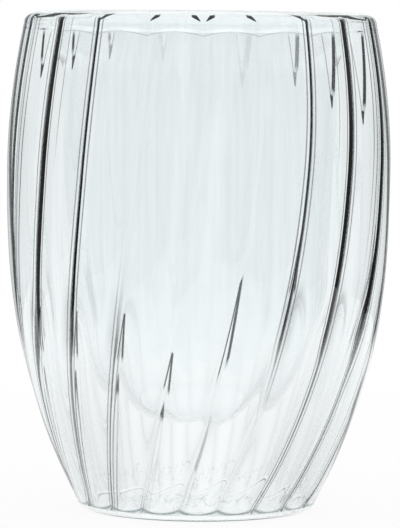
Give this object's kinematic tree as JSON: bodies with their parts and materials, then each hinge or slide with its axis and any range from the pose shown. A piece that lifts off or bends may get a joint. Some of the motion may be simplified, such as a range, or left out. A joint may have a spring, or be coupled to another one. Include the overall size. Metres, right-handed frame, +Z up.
{
  "type": "double-walled chai glass",
  "caption": "Clear double-walled tea glass: a smooth round-bottomed bowl hangs from a fused lip inside a barrel-shaped outer wall of swirling flutes.",
  "frame": {"origin": "centre of the flat ring that the glass stands on, at table height", "axes": "+Z up along the axis of the glass, through the open mouth; -Y is the side that faces the camera in the picture, +X is to its right"},
  "size_m": [0.0846, 0.0846, 0.11],
  "materials": {
    "clear_glass": "clear polished borosilicate, faint cool tint",
    "seal_glass": "clear fire-polished glass"
  },
  "bodies": {
    "root": {"outer_wall": "clear_glass", "inner_bowl": "clear_glass", "lip": "clear_glass", "base": "clear_glass", "vent_seal": "seal_glass"}
  },
  "joints": []
}
